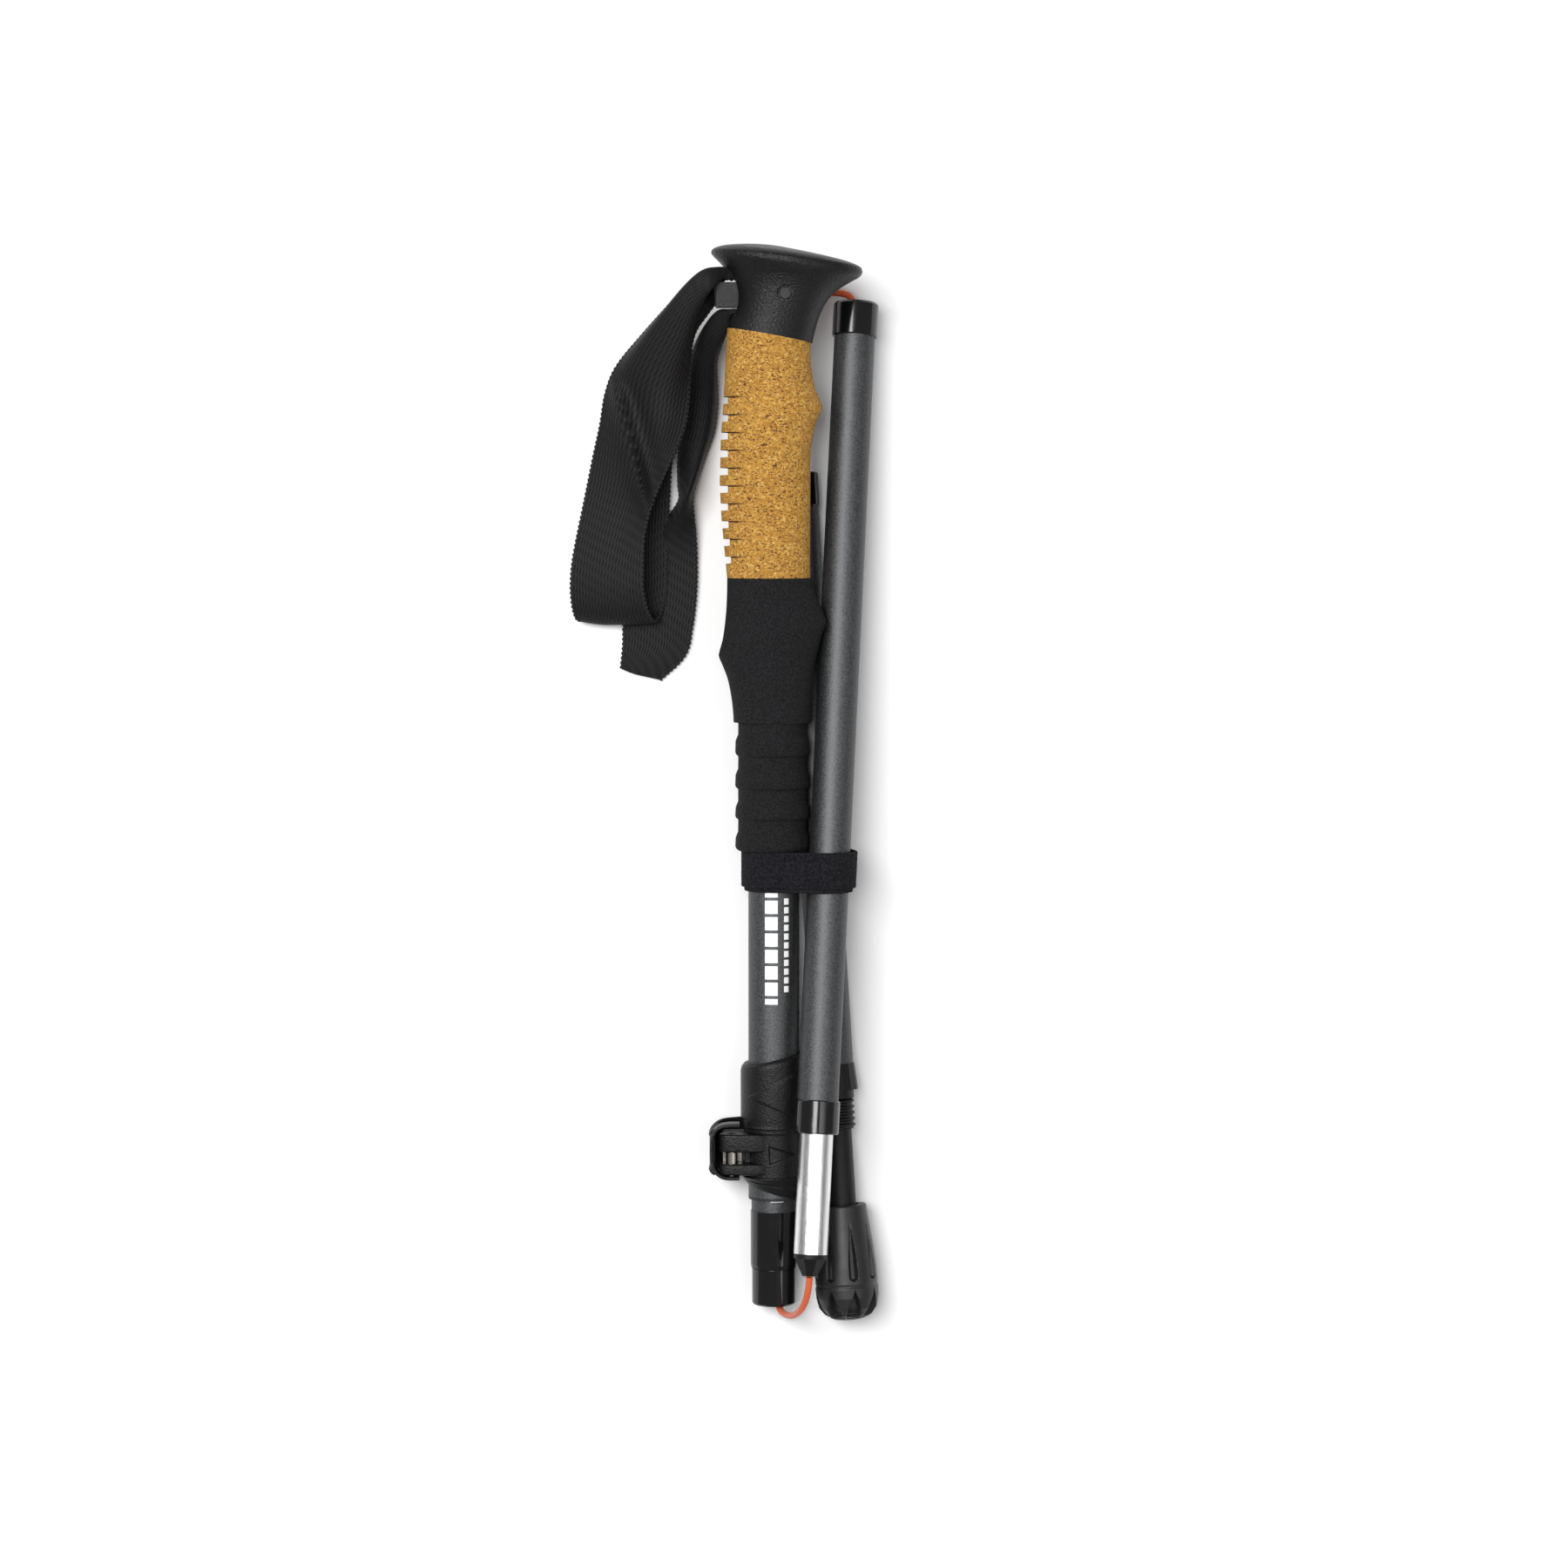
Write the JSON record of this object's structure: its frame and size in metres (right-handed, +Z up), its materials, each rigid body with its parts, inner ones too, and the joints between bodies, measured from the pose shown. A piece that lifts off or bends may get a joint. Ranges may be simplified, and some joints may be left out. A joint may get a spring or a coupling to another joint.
{
  "type": "folding trekking pole",
  "caption": "Three-section folding trekking pole, folded on its shock cord, with cork grip, wrist strap, flip-lock clamp and rubber foot.",
  "frame": {"origin": "middle of the folded pole's underside, on the surface it lies on", "axes": "+Y along the folded pole towards the grip head, +Z up, away from the surface"},
  "size_m": [0.1098, 0.3796, 0.0518],
  "materials": {
    "head_black": "satin, finely grained",
    "pin_black": "satin",
    "wedge_grey": "satin",
    "cork": "natural cork agglomerate",
    "foam_black": "matte closed-cell foam",
    "webbing_black": "twill webbing",
    "hook_loop_black": "brushed loop pile",
    "anodised_grey": "satin anodised",
    "bright_aluminium": "brushed",
    "clamp_black": "satin",
    "steel": "bright",
    "gloss_black": "gloss",
    "inner_plastic": "moulded",
    "cord_orange": "braided",
    "cord_sheath": "clear",
    "tip_black": "satin",
    "rubber_black": "matte moulded"
  },
  "bodies": {
    "handle": {"pommel": "head_black", "strap_pin": "pin_black", "cork_grip": "cork", "foam_grip": "foam_black", "wrist_strap": "webbing_black", "outer_shaft": "anodised_grey", "shaft_plug": "inner_plastic", "shaft_bush": "inner_plastic", "storage_strap": "hook_loop_black", "clamp_collar": "clamp_black", "clamp_pin": "steel", "clamp_screw": "steel", "clamp_nut": "steel", "clamp_washer": "steel"},
    "strap_wedge": {"strap_wedge": "wedge_grey"},
    "clamp_lever": {"clamp_lever": "clamp_black"},
    "inner_shaft": {"inner_shaft": "anodised_grey", "inner_shaft_plug": "inner_plastic", "ferrule_collar": "gloss_black", "ferrule_socket": "gloss_black", "upper_cord_anchor": "inner_plastic", "shock_cord_upper": "cord_orange"},
    "lower_loop": {"lower_loop_cord": "cord_orange", "lower_loop_sheath": "cord_sheath"},
    "middle": {"middle_tube": "anodised_grey", "middle_socket_cap": "gloss_black", "middle_spigot_sleeve": "gloss_black", "middle_spigot": "bright_aluminium", "middle_spigot_cone": "tip_black", "shock_cord_middle": "cord_orange"},
    "upper_loop": {"upper_loop_cord": "cord_orange", "upper_loop_sheath": "cord_sheath"},
    "lower": {"lower_tube": "anodised_grey", "lower_spigot_sleeve": "gloss_black", "lower_spigot": "bright_aluminium", "lower_spigot_cone": "tip_black", "shock_cord_lower": "cord_orange", "lower_cord_knot": "cord_orange", "basket_collar": "tip_black", "flex_tip": "tip_black", "tip_insert": "steel"},
    "tip_protector": {"tip_protector": "rubber_black"}
  },
  "joints": [
    {"name": "shaft_extension", "type": "slide", "parent": "handle", "child": "inner_shaft", "axis": [0, -0.9977, -0.0673], "range_m": [0, 0.2], "deforming": ["storage_strap"]},
    {"name": "middle_fold", "type": "hinge", "parent": "inner_shaft", "child": "lower_loop", "pos_m": [0.02361, -0.17873, 0.02226], "axis": [0, 0, -1], "range_deg": [0, 177.19], "deforming": ["lower_loop_cord", "lower_loop_sheath"]},
    {"name": "middle_drop", "type": "slide", "parent": "lower_loop", "child": "middle", "axis": [0, 0, -1], "range_m": [0, 0.02474]},
    {"name": "lower_fold", "type": "hinge", "parent": "middle", "child": "upper_loop", "pos_m": [0.02225, 0.16788, 0.00956], "axis": [1, 0.0067, -0.0003], "range_deg": [0, 176.76], "deforming": ["upper_loop_cord", "upper_loop_sheath"]},
    {"name": "lower_shift", "type": "slide", "parent": "upper_loop", "child": "lower", "axis": [1, 0.0067, -0.0003], "range_m": [0, 0.02475]},
    {"name": "clamp_lever_flip", "type": "hinge", "parent": "handle", "child": "clamp_lever", "pos_m": [0.00264, -0.1315, 0.021], "axis": [0, 0.9977, 0.0673], "range_deg": [0, 100]},
    {"name": "wedge_pull", "type": "slide", "parent": "handle", "child": "strap_wedge", "axis": [-1, 0, 0], "range_m": [0, 0.003]},
    {"name": "protector_pull", "type": "slide", "parent": "lower", "child": "tip_protector", "axis": [0.0623, -0.998, 0.011], "range_m": [0, 0.045]}
  ],
  "couplings": [
    {"joint": "middle_drop", "follows": "middle_fold", "m_per_rad": 0.007998},
    {"joint": "lower_shift", "follows": "lower_fold", "m_per_rad": 0.008021}
  ]
}
